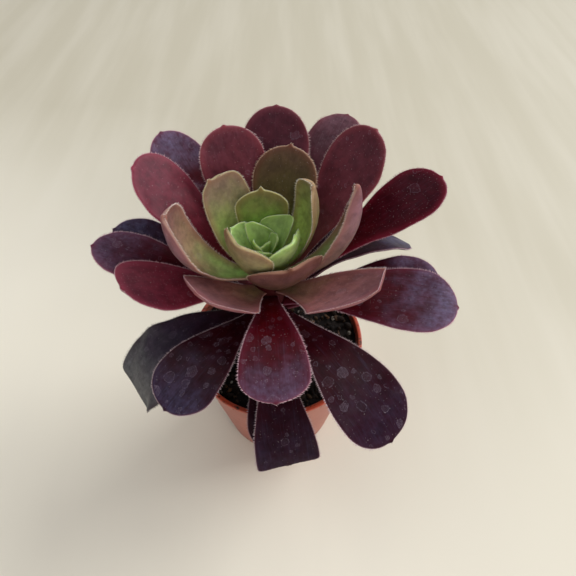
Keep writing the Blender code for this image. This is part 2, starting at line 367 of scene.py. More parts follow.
def pot_profile():
    """From the middle of the inner floor, up the inside, over the bead and down to the foot."""
    inner_top = wall_radius(POT_HEIGHT) - WALL
    bead_foot = POT_HEIGHT - BEAD_HEIGHT
    inner_foot = wall_radius(POT_FLOOR) - WALL
    profile = [(radius, POT_FLOOR) for radius in np.linspace(0, inner_foot - 1.2 * MM, 14)]
    profile += corner_arc((inner_foot - INNER_CORNER, POT_FLOOR + INNER_CORNER), INNER_CORNER, -90, 0)
    for height in np.linspace(POT_FLOOR + 4 * MM, POT_HEIGHT - 2 * MM, 16):
        profile.append((wall_radius(height) - WALL, height))
    profile += corner_arc((inner_top + LIP_INSIDE, POT_HEIGHT - LIP_INSIDE), LIP_INSIDE, 180, 90)
    profile += corner_arc((RIM_RADIUS - LIP_OUTSIDE, POT_HEIGHT - LIP_OUTSIDE), LIP_OUTSIDE, 90, 0)
    profile += corner_arc((RIM_RADIUS - LIP_OUTSIDE, bead_foot + LIP_INSIDE), LIP_OUTSIDE, 0, -80)
    for height in np.linspace(bead_foot - 1.0 * MM, 2 * MM, 28):
        profile.append((wall_radius(height), height))
    profile += corner_arc((BASE_RADIUS - 0.7 * MM, FOOT_ROUND), FOOT_ROUND, 0, -90)
    profile += [(radius, 0) for radius in np.linspace(BASE_RADIUS - 3 * MM, 0, 14)]
    return profile


print("profile points:", len(pot_profile()))

# %% [markdown]
# The plastic is softly shiny, and dull where dust and splashed peat cling to it, most of all near
# the rim and the foot. Its colour drifts a little. The inside is painted darker, as painted shade,
# and the thin rim is painted redder, as a painted glow of light coming through it. Noise textures,
# each cut off by a step, give all of these.


# %% The pot's finish
def pot_finish():
    paint = Finish("terracotta_plastic", 0.42, specular=0.45)
    place = paint.node("TexCoord").outputs["Object"]
    east, north, up = paint.split(place)
    cloud = paint.noise(place, 45, 3)
    colour = paint.ramp(cloud, (0.3, tone(168, 88, 72)), (0.7, tone(180, 100, 84)))
    flow = paint.noise(paint.stretch(place, (1, 1, 6)), 60, 4, 0.6)
    colour = paint.mix(paint.step(flow, 0.5, 0.8, 0, 0.14), colour, tone(206, 134, 112))
    # Painted glow: the top of the rim is painted a redder orange, as if light shone through the thin
    # plastic.
    rim = paint.step(up, POT_HEIGHT - 2.6 * MM, POT_HEIGHT - 0.8 * MM)
    colour = paint.mix(rim, colour, tone(190, 72, 42))
    splash = paint.noise(place, 420, 3, 0.7)
    near_rim = paint.step(up, POT_HEIGHT - 16 * MM, POT_HEIGHT, 0.03, 0.16)
    near_foot = paint.step(up, 9 * MM, 0, 0, 0.12)
    cling = paint.step(paint.plus(splash, paint.plus(near_rim, near_foot)), 0.72, 0.8)
    colour = paint.mix(cling, colour, tone(74, 45, 33))
    film = paint.step(paint.noise(place, 130, 4, 0.65), 0.5, 0.75, 0, 0.13)
    colour = paint.mix(film, colour, tone(205, 170, 150))
    # Painted shade: the inner wall is painted darker, as if in shade.
    across = paint.maths("SQRT", paint.plus(paint.times(east, east), paint.times(north, north)))
    slope = (RIM_RADIUS - BEAD_STEP - BASE_RADIUS) / POT_HEIGHT
    outer = paint.scaled(up, slope, BASE_RADIUS - WALL / 2)
    inside = paint.step(paint.minus(outer, across), 0, 0.5 * MM)
    colour = paint.mix(paint.times(inside, 0.35), colour, tone(120, 62, 44))
    paint.set("Base Color", colour)
    paint.set("Roughness", paint.step(paint.plus(film, cling), 0, 1, 0.4, 0.75))
    paint.set("Subsurface Weight", 0.12)
    paint.set("Subsurface Radius", (1.0, 0.35, 0.2))
    paint.set("Subsurface Scale", 1.2 * MM)
    grain = paint.plus(paint.noise(place, 900, 2), paint.times(flow, 0.7))
    paint.relief(grain, 0.06 * MM, 0.5)
    return paint.material


plastic = pot_finish()
print("nodes in the plastic:", len(plastic.node_tree.nodes))

# %% Turn the pot and cut its drainage holes
DRAIN_HOLES = 6
DRAIN_RADIUS = 3 * MM
DRAIN_RING = 21 * MM
DRAIN_SIDES = 40
SHARP_BEND = math.radians(50)


def turned_points(profile):
    """The profile swept round the axis; the wall strays from a true circle, more so higher up."""
    points = []
    for radius, height in profile:
        for side in range(POT_SIDES):
            angle = math.tau * side / POT_SIDES
            sway = ripple(np.array([math.cos(angle), math.sin(angle), height * 12]), 2.2, seed=1)
            around = radius + POT_WOBBLE * sway * height / POT_HEIGHT * (radius > BASE_RADIUS / 2)
            points.append((around * math.cos(angle), around * math.sin(angle), height))
    return points


def drill_drain_holes(piece):
    """Cuts upright round holes through the floor, evenly round a ring."""
    shape = bmesh.new()
    size = {"radius1": DRAIN_RADIUS, "radius2": DRAIN_RADIUS, "depth": 4 * POT_FLOOR}
    for number in range(DRAIN_HOLES):
        angle = math.tau * number / DRAIN_HOLES
        drill = bmesh.ops.create_cone(shape, cap_ends=True, segments=DRAIN_SIDES, **size)
        shift = (DRAIN_RING * math.cos(angle), DRAIN_RING * math.sin(angle), 0)
        bmesh.ops.translate(shape, verts=drill["verts"], vec=shift)
    drills = bpy.data.meshes.new("drills")
    shape.to_mesh(drills)
    shape.free()
    cutter = bpy.data.objects.new("drills", drills)
    bpy.context.scene.collection.objects.link(cutter)
    cut = piece.modifiers.new("holes", "BOOLEAN")
    cut.object = cutter
    cut.solver = "EXACT"
    graph = bpy.context.evaluated_depsgraph_get()
    drilled = bpy.data.meshes.new_from_object(piece.evaluated_get(graph))
    piece.modifiers.remove(cut)
    piece.data = drilled
    bpy.data.objects.remove(cutter)
    piece.data.set_sharp_from_angle(angle=SHARP_BEND)


def make_pot():
    profile = pot_profile()
    points = turned_points(profile[1:-1])
    faces = ring_faces(len(profile) - 2, POT_SIDES)
    last = len(points)
    points += [(0, 0, POT_FLOOR), (0, 0, 0)]
    foot = (len(profile) - 3) * POT_SIDES
    for side in range(POT_SIDES):
        turn = (side + 1) % POT_SIDES
        faces.append((last, turn, side))
        faces.append((last + 1, foot + side, foot + turn))
    faces = [face[::-1] for face in faces]
    pot = add_piece("pot_shell", points, faces, plastic, ["pot"])
    drill_drain_holes(pot)
    return pot


pot_shell = make_pot()
print("pot faces:", len(pot_shell.data.polygons))

# %% [markdown]
# ## The peat
# Potting mix is dark crumbs of many sizes over a lumpy bed, with white perlite and slivers of bark.
# The bed is a turned body whose top is pushed up and down by ripples. The crumbs are real small
# bodies: a few rough lumps are modelled once, then turned, scaled and scattered by a seeded draw.

# %% The bed
soil_low, soil_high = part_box("soil")
SOIL_TOP = soil_high.z
SOIL_CROWN = 1.2 * MM
SOIL_RADIUS = (soil_high.x - soil_low.x) / 2
SOIL_SIDES = 150
BED_RINGS = 46
BED_WALL_RINGS = 9
BED_SINK = 0.5 * MM
STEM_HOLE = 5.4 * MM


def bed_height(radius, angle):
    """The top of the bed: a low crown with lumps of three sizes."""
    radius, angle = np.broadcast_arrays(radius, angle)
    flat = np.stack([radius * np.cos(angle), radius * np.sin(angle)], -1)
    crown = SOIL_TOP - SOIL_CROWN * radius / SOIL_RADIUS
    lumps = 0.55 * ripple(flat, 16 * MM, 11) + 0.3 * ripple(flat, 5 * MM, 12)
    lumps = lumps + 0.22 * ripple(flat, 2 * MM, 13)
    return crown + lumps * MM - BED_SINK


def make_bed(material):
    angles = math.tau * np.arange(SOIL_SIDES) / SOIL_SIDES
    foot_radius = wall_radius(soil_low.z) - WALL - 0.4 * MM
    points = []
    for radius in np.linspace(STEM_HOLE, SOIL_RADIUS, BED_RINGS):
        height = bed_height(radius, angles)
        points += list(zip(radius * np.cos(angles), radius * np.sin(angles), height))
    for share in np.linspace(0, 1, BED_WALL_RINGS + 1)[1:]:
        height = (1 - share) * (SOIL_TOP - 3 * MM) + share * soil_low.z
        radius = SOIL_RADIUS + (foot_radius - SOIL_RADIUS) * share
        points += [(radius * math.cos(a), radius * math.sin(a), height) for a in angles]
    rings = len(points) // SOIL_SIDES
    faces = ring_faces(rings, SOIL_SIDES)
    faces.append(tuple(range(SOIL_SIDES)))
    faces.append(tuple(range((rings - 1) * SOIL_SIDES, rings * SOIL_SIDES))[::-1])
    return add_piece("peat_bed", points, [face[::-1] for face in faces], material, ["soil"])


rim_gap = POT_HEIGHT - float(bed_height(SOIL_RADIUS, 0))
print("the bed ends", round(rim_gap / MM, 1), "mm under the rim")

# %% Crumb-sized lumps
def rough_lump(seed, roundness, detail):
    """A small irregular body about one unit across: an icosphere pushed in and out."""
    shape = bmesh.new()
    bmesh.ops.create_icosphere(shape, subdivisions=detail, radius=0.5)
    points = np.array([vertex.co for vertex in shape.verts])
    faces = [[vertex.index for vertex in face.verts] for face in shape.faces]
    shape.free()
    points *= (1 + (1 - roundness) * ripple(points, 0.9, seed))[:, None]
    return points, faces


def scatter(name, places, sizes, stretch, lumps, draw, material):
    """Joins many turned, scaled lumps into one piece; each keeps a random number as its grain."""
    points, faces, grain = [], [], []
    for place, size in zip(places, sizes):
        lump, lump_faces = lumps[draw.randint(len(lumps))]
        axes, _ = np.linalg.qr(draw.normal(size=(3, 3)))
        body = (lump * size * (1 + (np.array(stretch) - 1) * draw.uniform(0.5, 1.2, 3))) @ axes
        start = sum(len(part) for part in points)
        points.append(body + place)
        flip = np.linalg.det(axes) < 0
        for face in lump_faces:
            faces.append([start + i for i in (face[::-1] if flip else face)])
        grain += [draw.rand()] * len(body)
    return add_piece(name, np.concatenate(points), faces, material, notes={"grain": grain})


def spots(draw, count, inner, outer, lift):
    """Places spread over the bed between two radii, each resting a little above it."""
    radius = np.sqrt(draw.uniform(inner**2, outer**2, count))
    angle = draw.uniform(0, math.tau, count)
    height = bed_height(radius, angle) + lift
    return np.stack([radius * np.cos(angle), radius * np.sin(angle), height], -1)


print("points on a crumb:", len(rough_lump(1, 0.7, 1)[0]))

# %% [markdown]
# Wet peat is nearly black, dry peat is warm brown, and both are dull. Perlite is a foamed white
# glass, so its grains are pale, a little pitted and smeared with peat.


# %% Finishes of the peat, the perlite and the bark
def peat_finish():
    paint = Finish("peat_crumb", 0.92, specular=0.25)
    place = paint.node("TexCoord").outputs["Object"]
    grain = paint.split(paint.read("grain"))[0]
    fine = paint.noise(place, 1400, 4, 0.7)
    blend = paint.scaled(grain, 0.5, paint.times(fine, 0.6))
    wet, damp, dry = tone(16, 11, 9), tone(38, 27, 20), tone(84, 62, 44)
    colour = paint.ramp(blend, (0.2, wet), (0.6, damp), (0.95, dry))
    fibre = paint.noise(paint.stretch(place, (1, 5, 1)), 500, 3)
    colour = paint.mix(paint.step(fibre, 0.62, 0.8, 0, 0.5), colour, tone(98, 72, 50))
    paint.set("Base Color", colour)
    paint.relief(fine, 0.3 * MM, 0.8)
    return paint.material


def perlite_finish():
    paint = Finish("perlite", 0.8, specular=0.4)
    place = paint.node("TexCoord").outputs["Object"]
    stain = paint.noise(place, 700, 4, 0.7)
    smeared, dusty, clean = tone(70, 60, 50), tone(132, 124, 112), tone(190, 184, 172)
    colour = paint.ramp(stain, (0.35, smeared), (0.55, dusty), (0.8, clean))
    pits, _ = paint.cells(place, 3500)
    paint.set("Base Color", colour)
    paint.relief(pits, 0.2 * MM, 0.7)
    return paint.material


def bark_finish():
    paint = Finish("bark_chip", 0.8, specular=0.3)
    place = paint.node("TexCoord").outputs["Object"]
    fibre = paint.noise(paint.stretch(place, (4, 1, 1)), 500, 4, 0.6)
    colour = paint.ramp(fibre, (0.3, tone(46, 30, 21)), (0.7, tone(112, 78, 52)))
    paint.set("Base Color", colour)
    paint.relief(fibre, 0.2 * MM, 0.6)
    return paint.material


SOIL_FINISHES = (peat_finish(), perlite_finish(), bark_finish())
print("soil finishes:", ", ".join(finish.name for finish in SOIL_FINISHES))

# %% [markdown]
# Now the layers go in: the bed, a coat of crumbs, bigger lumps, a little perlite and bark, and a few
# crumbs left on the rim from potting. One seeded draw serves them all, so every run is the same.

# %% Lay the soil
RIM_CRUMB_ANGLES = np.radians([232, 246, 262, 281, 305, 338, 8, 41, 77, 120, 161, 199])
RIM_CRUMB_LIFT = 0.2 * MM


def strew(name, material, lumps, draw, count, sizes, stretch, gaps, lift):
    """Scatters lumps over the bed. In mm: sizes, gaps from the stem and the wall, and lift."""
    places = spots(draw, count, STEM_HOLE + gaps[0] * MM, SOIL_RADIUS - gaps[1] * MM, lift * MM)
    scatter(name, places, draw.uniform(*sizes, count) * MM, stretch, lumps, draw, material)


def lay_soil():
    draw = np.random.RandomState(21)
    peat, white, brown = SOIL_FINISHES
    make_bed(peat)
    crumbs = [rough_lump(seed, 0.72, 1) for seed in range(30, 38)]
    boulders = [rough_lump(seed, 0.8, 2) for seed in range(40, 46)]
    strew("peat_crumbs", peat, crumbs, draw, count=900, sizes=(0.8, 2.4), stretch=(1.2, 0.9, 0.8),
          gaps=(1, 1.2), lift=0.1)
    strew("peat_lumps", peat, boulders, draw, count=70, sizes=(2.4, 4.4), stretch=(1.3, 1, 0.7),
          gaps=(3, 2.2), lift=0.5)
    strew("perlite_grains", white, boulders, draw, count=60, sizes=(0.8, 2.2), stretch=(1.1, 1, 0.9),
          gaps=(3, 1.2), lift=0.3)
    strew("bark_chips", brown, crumbs, draw, count=60, sizes=(1.6, 3.6), stretch=(2.0, 0.7, 0.35),
          gaps=(3, 3.2), lift=0.7)
    angle = RIM_CRUMB_ANGLES
    reach = RIM_RADIUS - draw.uniform(0.7, 1.5, len(angle)) * MM
    height = np.full(len(angle), POT_HEIGHT + RIM_CRUMB_LIFT)
    on_rim = np.stack([reach * np.cos(angle), reach * np.sin(angle), height], -1)
    sizes = draw.uniform(0.5, 1.3, len(angle)) * MM
    scatter("rim_crumbs", on_rim, sizes, (1.2, 1, 0.7), crumbs, draw, peat)


lay_soil()
print("soil pieces laid")

# %% [markdown]
# ## The stem
# Under the rosette the stem is a short leaning column. Each lost leaf leaves a pale oval scar, and
# the scars wind up it in spirals. A tube of rings carries them: the radius dips at every scar. The
# bark is brown, and the young stretch just under the heart is wine-red like the leaves round it.

# %% The stem's shape
STEM_FOOT_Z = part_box("stem")[0].z
STEM_BEND_Z = 72 * MM
STEM_TOP_Z = 137.5 * MM
STEM_LEAN = -4.5 * MM
STEM_LEAN_POWER = 1.4
STEM_WIDTHS = ((58, 6.0), (72, 6.0), (90, 5.6), (118, 6.0), (126, 4.8), (132, 3.0), (136, 1.6), (138, 0.9))
STEM_SIDES = 56
STEM_RINGS = 120
YOUNG_STEM_Z = STEM_TOP_Z - 42 * MM
WINE_STEM_Z = STEM_TOP_Z - 30 * MM
SCAR_COUNT = 60
SCAR_RISE = 1.55 * MM
SCAR_TALL = 1.5 * MM
SCAR_WIDE = 0.5
SCAR_DENT = 0.07
GOLDEN_TURN = math.radians(137.5)


def stem_radius(height):
    heights, radii = zip(*STEM_WIDTHS)
    return np.interp(np.asarray(height) / MM, heights, radii) * MM


def stem_centre(height):
    """The axis at a height: upright in the soil, then leaning more and more to the left."""
    part = max(0.0, (height - STEM_BEND_Z) / (STEM_TOP_Z - STEM_BEND_Z))
    return np.array((STEM_LEAN * part**STEM_LEAN_POWER, 0.0, height))


def scar_depth(height, angle):
    """How near a point is to the nearest leaf scar, from 0 to 1."""
    number = np.arange(SCAR_COUNT)
    scar_height = STEM_FOOT_Z + number * SCAR_RISE
    scar_angle = number * GOLDEN_TURN
    sideways = (angle - scar_angle + math.pi) % math.tau - math.pi
    distance = ((height - scar_height) / SCAR_TALL) ** 2 + (sideways / SCAR_WIDE) ** 2
    return float(np.exp(-distance).max())


def stem_finish():
    paint = Finish("stem_bark", 0.75, specular=0.3)
    place = paint.node("TexCoord").outputs["Object"]
    scar = paint.split(paint.read("scar"))[0]
    grain = paint.noise(paint.stretch(place, (1, 1, 0.3)), 700, 4, 0.6)
    colour = paint.ramp(grain, (0.3, tone(74, 60, 38)), (0.7, tone(122, 104, 66)))
    colour = paint.mix(paint.step(scar, 0.35, 0.75), colour, tone(164, 142, 104))
    young = paint.step(paint.split(place)[2], YOUNG_STEM_Z, WINE_STEM_Z)
    colour = paint.mix(young, colour, tone(66, 16, 18))
    paint.set("Base Color", colour)
    paint.relief(grain, 0.3 * MM, 0.7)
    return paint.material


print("stem width at the soil:", round(2 * float(stem_radius(SOIL_TOP)) / MM, 1), "mm")

# %% Build the stem
def make_stem():
    points, scars = [], []
    for height in np.linspace(STEM_FOOT_Z, STEM_TOP_Z, STEM_RINGS):
        for side in range(STEM_SIDES):
            angle = math.tau * side / STEM_SIDES
            scar = scar_depth(height, angle)
            radius = stem_radius(height) * (1 - SCAR_DENT * scar)
            points.append(stem_centre(height) + radius * np.array((math.cos(angle), math.sin(angle), 0)))
            scars.append(scar)
    faces = ring_faces(STEM_RINGS, STEM_SIDES)
    faces.append(tuple(range(STEM_SIDES))[::-1])
    faces.append(tuple(range(len(points) - STEM_SIDES, len(points))))
    return add_piece("stem_column", points, faces, stem_finish(), ["stem"], {"scar": scars})


stem_column = make_stem()
print("stem faces:", len(stem_column.data.polygons))

# %% [markdown]
# ## How a leaf is described
# An aeonium leaf is a fleshy paddle: narrow where it leaves the stem, widest near its end, with a
# small point at the tip and a fringe of fine teeth. Its midrib leaves the stem at one slope and
# ends at another. A few numbers describe all that, so one row of a table stands for one leaf.


# %% The leaf's numbers
@dataclass
class Leaf:
    """One leaf. Lengths in mm, angles in degrees; azimuth 0 is the front and 90 is the right.

    height is where it leaves the stem; rise and tip_rise are the midrib's slopes at its two ends.
    bend holds the midrib straight for longer, sway turns it sideways, cup is half the arc across,
    and roll tilts the blade about its midrib. neck is the base's share of the width, slender how
    long the blade stays narrow, widest the part of the length where it is full, square how blunt
    the end is and skew how far the end is cut askew. point says where the small tip sits across,
    tooth how long it is, and wave how much the margin ripples. marks, dust and bloom say how much
    water spotting, dust and grey film the skin carries; the film is partly real wax and partly
    painted sheen.
    """

    name: str
    skin: str
    azimuth: float
    height: float
    length: float
    width: float
    rise: float
    tip_rise: float
    bend: float = 1
    sway: float = 0
    cup: float = 12
    roll: float = 0
    neck: float = 0.2
    slender: float = 2.3
    widest: float = 0.78
    square: float = 2
    skew: float = 0
    point: float = 0
    tooth: float = 0.6
    wave: float = 0.35
    marks: float = 0.1
    dust: float = 0.3
    bloom_and_sheen: float = 0.3


sample = Leaf("sample", "wine", azimuth=0, height=110, length=60, width=26, rise=30, tip_rise=20)
print("numbers in a row:", len(Leaf.__dataclass_fields__))

# %% [markdown]
# The outline comes from two curves that meet where the leaf is widest: a slow swell up from the
# neck and a rounded shoulder beyond. The midrib is found by adding up short steps whose slope
# changes along the way.

# %% Outline and midrib
SPINE_STEPS = 200
SPINE_REACH = 1.1
MARGIN_STEPS = 3000


def leaf_width(part, leaf):
    """Half the width as a share of the widest, at a part of the length from base to tip."""
    swell = np.sin(np.pi / 2 * np.clip(part / leaf.widest, 0, 1)) ** leaf.slender
    beyond = np.clip((part - leaf.widest) / (1 - leaf.widest), 0, 1)
    shoulder = (1 - beyond**leaf.square) ** (1 / leaf.square)
    return np.where(part <= leaf.widest, leaf.neck + (1 - leaf.neck) * swell, shoulder)


def read_along(places, marks, values):
    """Each column of values, given at the marks, read off at other places between them."""
    return np.stack([np.interp(places, marks, values[:, axis]) for axis in range(3)], -1)


def leaf_spine(leaf, part):
    """The midrib's point, side and upward normal at each part of its length."""
    fine = np.linspace(0, SPINE_REACH, SPINE_STEPS + 1)
    slope = np.radians(leaf.rise + (leaf.tip_rise - leaf.rise) * fine**leaf.bend)
    turn = np.radians(leaf.sway * fine)
    way = np.stack([np.cos(slope) * np.cos(turn), np.cos(slope) * np.sin(turn), np.sin(slope)], -1)
    steps = (way[1:] + way[:-1]) / 2 * leaf.length * MM * SPINE_REACH / SPINE_STEPS
    line = np.vstack([np.zeros(3), np.cumsum(steps, axis=0)])
    heading = np.radians(leaf.sway * part)
    side = np.stack([np.sin(heading), -np.cos(heading), 0 * heading], -1)
    forward = read_along(part, fine, way)
    normal = np.cross(side, forward / np.linalg.norm(forward, axis=-1, keepdims=True))
    roll = math.radians(leaf.roll)
    rolled = side * math.cos(roll) + normal * math.sin(roll)
    return read_along(part, fine, line), rolled, normal * math.cos(roll) - side * math.sin(roll)


def walk(line):
    """How far along a line of points each of them lies."""
    return np.concatenate([[0], np.cumsum(np.linalg.norm(np.diff(line, axis=0), axis=1))])


def even_rows(leaf, count):
    """Parts of the length whose margin points lie at even distances round the outline."""
    part = 1 - np.linspace(1, 0, MARGIN_STEPS) ** 2
    walked = walk(np.stack([part * leaf.length, leaf_width(part, leaf) * leaf.width / 2], -1))
    return np.interp(np.linspace(0, walked[-1], count), walked, part)


print("half way along, the sample has", round(float(leaf_width(0.5, sample)), 2), "of its full width")

# %% [markdown]
# ## The leaf's flesh
# A leaf is thick along its middle and thin towards its margin, where both faces meet in a small
# round. A Solidify modifier would leave that margin square, so the two faces are worked out
# directly. First come the thickness and how far each point lies from the margin.

# %% Thickness and margins
EDGE_SHARE = 0.36
EDGE_ROUND = 0.7 * MM
LEAF_THINNEST = 0.9 * MM
LEAF_THICKEST = 2.4 * MM
THICKNESS_PER_LENGTH = 1 / 40
UPPER_SHARE = 0.85
LOWER_SHARE = 1.15
OUTLINE_STEPS = 260


def leaf_thickness(leaf):
    return min(LEAF_THICKEST, LEAF_THINNEST + leaf.length * MM * THICKNESS_PER_LENGTH)


def smooth_step(values, low, high):
    share = np.clip((values - low) / (high - low), 0, 1)
    return share * share * (3 - 2 * share)


def margin_distance(leaf, flat):
    """Distance in metres from each flattened point to the leaf's outline, 0 on the margin."""
    part = 1 - np.linspace(1, 0, OUTLINE_STEPS) ** 2
    half = leaf_width(part, leaf) * leaf.width / 2
    outline = np.concatenate([np.stack([part * leaf.length, way * half], -1) for way in (1, -1)])
    gaps = flat.reshape(-1, 1, 2) - outline[None] * MM
    edge = np.sqrt((gaps**2).sum(-1)).min(1).reshape(flat.shape[:-1])
    edge[:, [0, -1]] = 0
    edge[-1] = 0
    return edge


print("the sample is", round(leaf_thickness(sample) / MM, 1), "mm thick")

# %% [markdown]
# The blade starts flat, as a grid whose columns crowd towards the margin, where its shape changes
# fastest. The point at the tip is a pull that fades within a millimetre or two. Then the sheet is
# bent to the midrib, cupped across and ruffled, and the flesh goes on above and below it.

# %% The grid of points over the flattened blade
FULL_DETAIL_LENGTH = 60
LEAST_DETAIL = 0.45
ROWS = 92
HALF_COLUMNS = 18


def blade_grid(leaf, detail):
    """Rows from base to tip and columns from side to side, closer together near the margin."""
    rows = even_rows(leaf, int(ROWS * detail))
    steps = np.linspace(-1, 1, 2 * int(HALF_COLUMNS * detail) + 3)
    across = 0.45 * steps + 0.55 * np.sin(np.pi / 2 * steps)
    part, side = np.meshgrid(rows, across, indexing="ij")
    half = leaf_width(part, leaf) * leaf.width / 2 * MM
    return part, side, half, np.stack([part * leaf.length * MM, side * half], -1)


print("rows and columns of the sample:", blade_grid(sample, 1)[0].shape)

# %% The small point at the tip
POINT_WIDTH = 0.9 * MM


def tip_point(leaf, flat):
    """Distance from the tip, how far the point draws each place out, and which way it draws."""
    aside = abs(leaf.point)
    beyond = (1 - aside**leaf.square) ** (1 / leaf.square)
    tip_part = leaf.widest + (1 - leaf.widest) * beyond
    tip = np.array((tip_part * leaf.length, leaf.point * leaf.width / 2)) * MM
    from_tip = np.linalg.norm(flat - tip, axis=-1)
    pull = np.exp(-((from_tip / POINT_WIDTH) ** 2)) * leaf.tooth * MM
    way = np.array((
        beyond ** (leaf.square - 1) / ((1 - leaf.widest) * leaf.length),
        aside ** (leaf.square - 1) / (leaf.width / 2) * np.sign(leaf.point),
    ))
    return from_tip, pull, way / math.hypot(*way)


print("the sample's point is drawn out", sample.tooth, "mm")

# %% The sheet and its two faces
RUFFLE_WAVE = 15 * MM
SWELL_WAVE = 22 * MM
DIMPLE_WAVE = 6 * MM


def leaf_faces(leaf, seed):
    """Grids of points for the middle sheet and both faces, with what the notes need of each."""
    detail = float(np.clip(leaf.length / FULL_DETAIL_LENGTH, LEAST_DETAIL, 1))
    part, side, half, flat = blade_grid(leaf, detail)
    edge = margin_distance(leaf, flat)
    from_tip, pull, (ahead, aside) = tip_point(leaf, flat)
    askew = leaf.skew * flat[..., 1] / (leaf.width / 2 * MM)
    reach = part * (1 + askew * smooth_step(part, 0.3, 1)) + pull * ahead / (leaf.length * MM)
    spine, sideways, normal = leaf_spine(leaf, np.clip(reach, 0, SPINE_REACH))
    cup = math.radians(leaf.cup)
    bow = (half / cup)[..., None]
    angle = (cup * side)[..., None]
    sheet = spine + sideways * bow * np.sin(angle) + normal * bow * (1 - np.cos(angle))
    face_normal = normal * np.cos(angle) - sideways * np.sin(angle)
    face_side = sideways * np.cos(angle) + normal * np.sin(angle)
    sheet = sheet + face_side * (pull * aside)[..., None]
    fading = smooth_step(part, 0.25, 0.8) * (1 - smooth_step(part, 0.93, 1))
    ruffle = ripple(flat, RUFFLE_WAVE, seed) * np.abs(side) ** 2 * fading
    swell = ripple(flat, SWELL_WAVE, seed + 500) * 0.22 + ripple(flat, DIMPLE_WAVE, seed + 900) * 0.05
    sheet = sheet + face_normal * ((ruffle * leaf.wave + swell) * MM * detail)[..., None]
    rounded = np.sqrt(1 - (1 - np.clip(edge / EDGE_ROUND, 0, 1)) ** 2)
    belly = EDGE_SHARE + (1 - EDGE_SHARE) * (1 - side**2)
    flesh = leaf_thickness(leaf) / 2 * belly * rounded
    upper = sheet + face_normal * (flesh * UPPER_SHARE)[..., None]
    lower = sheet - face_normal * (flesh * LOWER_SHARE)[..., None]
    return sheet, upper, lower, flat, part, edge, from_tip


sample_sheet = leaf_faces(sample, seed=1)[0]
print("the sample's sheet rises", round(float(np.ptp(sample_sheet[..., 2])) / MM, 1), "mm")

# %% [markdown]
# ## The fringe
# The margin of a real leaf carries a row of fine teeth, the cilia, which catch the light as a pale
# line. Hair curves would be quick but stay apart from the mesh, so each tooth is a closed cone with
# three sides. The cones stand at an even pitch, and each leans its own way.

# %% The fringe
CILIUM_PITCH = 0.8 * MM
CILIUM_LENGTH = 0.85 * MM
CILIUM_ROOT = 0.24 * MM
CILIUM_SUNK = 0.15 * MM
CILIUM_SLIP = 0.12 * MM
CILIUM_LEAN = 0.22
FRINGE_ENDS = (0.06, 0.94)
CONE = np.array([(0, 1, 3), (1, 2, 3), (2, 0, 3), (2, 1, 0)])


def unit(vectors):
    return vectors / (np.linalg.norm(vectors, axis=1, keepdims=True) + 1e-12)


def fringe(sheet, draw, scale):
    """The points and faces of tiny cones along the margin."""
    margin = np.concatenate([sheet[:-1, 0], sheet[-1:, 0], sheet[:-1, -1][::-1]])
    inner = np.concatenate([sheet[:-1, 1], sheet[-2:-1, sheet.shape[1] // 2], sheet[:-1, -2][::-1]])
    walked = walk(margin)
    count = int(walked[-1] / (CILIUM_PITCH * scale))
    stops = np.linspace(*FRINGE_ENDS, count) * walked[-1] + draw.normal(0, CILIUM_SLIP, count)
    root = read_along(stops, walked, margin)
    way = read_along(stops, walked, unit(margin - inner))
    way = unit(way + draw.normal(0, CILIUM_LEAN, way.shape))
    aside = unit(np.cross(way, (0.3, 0.2, 0.93)))
    above = np.cross(way, aside)
    length = CILIUM_LENGTH * scale * draw.uniform(0.6, 1.3, (count, 1))
    corners = []
    for angle in np.radians((0, 120, 240)):
        spoke = math.cos(angle) * aside + math.sin(angle) * above
        corners.append(root + CILIUM_ROOT * scale * spoke - CILIUM_SUNK * way)
    points = np.stack([*corners, root + way * length], 1).reshape(-1, 3)
    first = np.arange(count)[:, None] * 4
    return points, (first[:, None] + CONE[None]).reshape(-1, 3)


sample_teeth = fringe(sample_sheet, np.random.RandomState(1), 1)[0]
print("teeth on the sample:", len(sample_teeth) // 4)

# %% [markdown]
# ## One leaf put together
# Both faces share the points of the margin, so they close into one skin without a seam. What the
# finish will need is noted on each point here, while its place on the flattened blade is known.
# Last, the leaf is turned to its azimuth and moved out to the stem's surface.

# %% Faces between the grids
def leaf_mesh(sheet, upper, lower):
    """Joins both faces along the margin; a mask says which grid points have a twin below."""
    rows, columns = sheet.shape[:2]
    inside = np.ones((rows, columns), bool)
    inside[:, [0, -1]] = False
    inside[-1] = False
    top = np.arange(rows * columns).reshape(rows, columns)
    low = top.copy()
    low[inside] = rows * columns + np.arange(inside.sum())
    tip = top[-1, columns // 2]
    top[-1] = tip
    low[-1] = tip
    points = np.concatenate([np.where(inside[..., None], upper, sheet).reshape(-1, 3), lower[inside]])
    top_quads = np.stack([top[:-1, :-1], top[:-1, 1:], top[1:, 1:], top[1:, :-1]], -1)
    low_quads = np.stack([low[:-1, :-1], low[1:, :-1], low[1:, 1:], low[:-1, 1:]], -1)
    quads = np.concatenate([top_quads.reshape(-1, 4), low_quads.reshape(-1, 4)]).tolist()
    faces = [tuple(dict.fromkeys(face)) for face in quads]
    faces.append((*low[0], *top[0, 1:-1][::-1]))
    return points, faces, inside


print("faces on the sample:", len(leaf_mesh(sample_sheet, sample_sheet, sample_sheet)[1]))

# %% One leaf as a piece
ROOT_GAP = 0.4 * MM
ROOT_REACH = 0.9 * MM
FRINGE_FULL_LENGTH = 45
TOOTH_MARK = -1.0
FAR_FROM_TIP = 30.0
SKIN_SHIFT = (173, 91)


